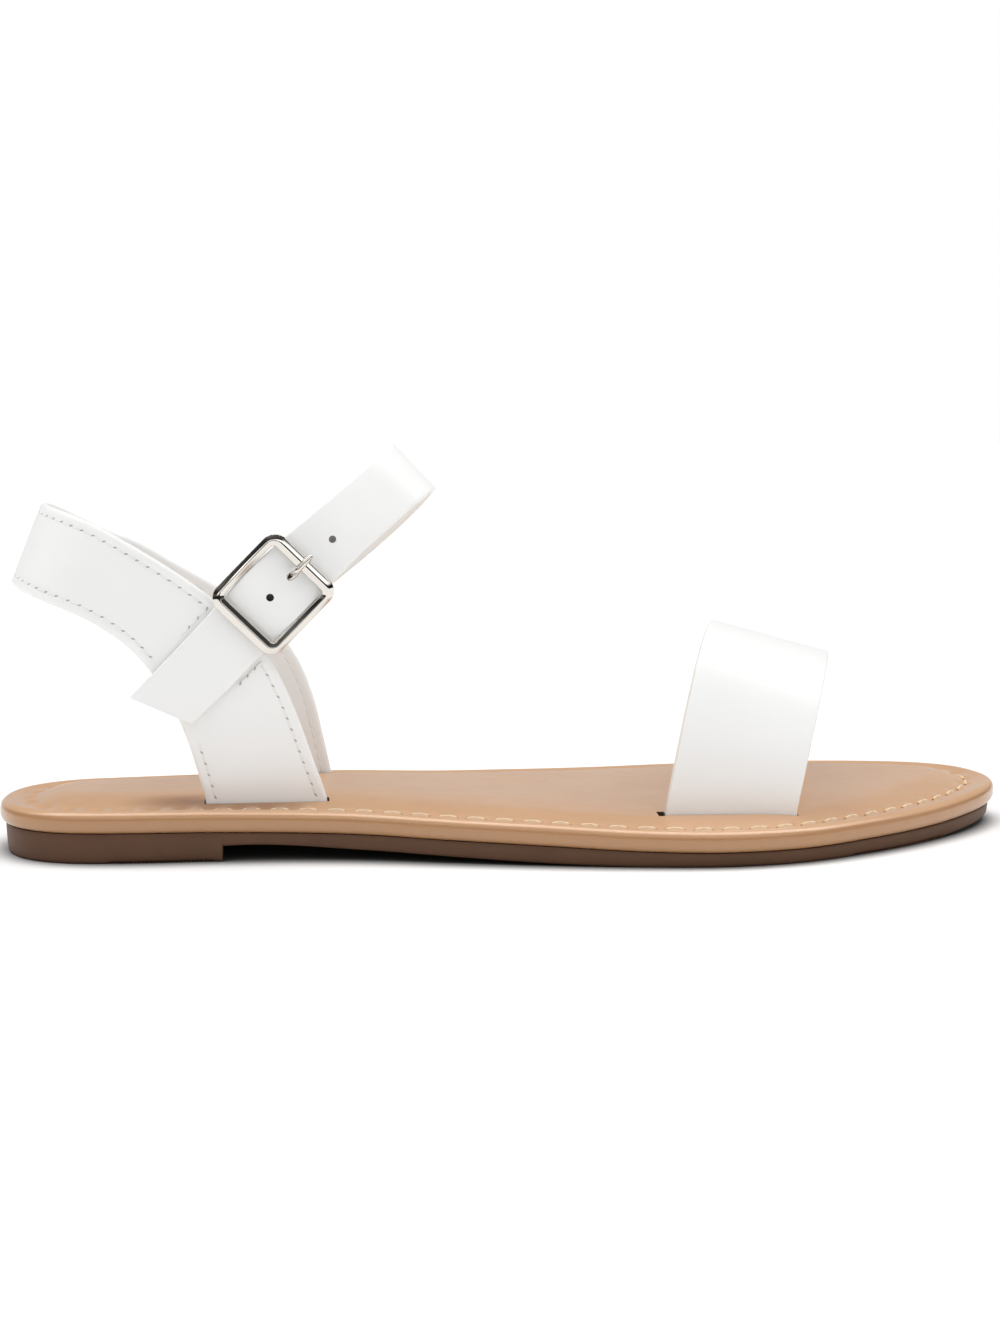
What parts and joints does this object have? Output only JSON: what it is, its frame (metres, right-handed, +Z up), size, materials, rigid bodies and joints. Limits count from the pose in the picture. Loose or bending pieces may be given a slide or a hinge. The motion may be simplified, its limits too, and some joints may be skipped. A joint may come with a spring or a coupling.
{
  "type": "ankle strap sandal",
  "caption": "Flat white ankle strap sandal for the right foot, with a front strap, stitched quarters, nickel buckle, tan stitched footbed and brown low-heeled outsole.",
  "frame": {"origin": "on the floor, under the middle of the shoe's length and width", "axes": "+X from heel to toe, +Y towards the medial side, +Z up"},
  "size_m": [0.2484, 0.0879, 0.0957],
  "materials": {
    "outsole": "satin moulded rubber",
    "footbed": "smooth tan wrap with a stitched rolled edge",
    "front_strap": "smooth white, half matt",
    "heel_and_ankle_strap": "smooth white, half matt, stitched edges",
    "buckle": "polished nickel"
  },
  "bodies": {
    "root": {"outsole": "outsole", "footbed": "footbed", "front_strap": "front_strap", "heel_and_ankle_strap": "heel_and_ankle_strap", "buckle_frame": "buckle", "buckle_prong": "buckle"}
  },
  "joints": []
}
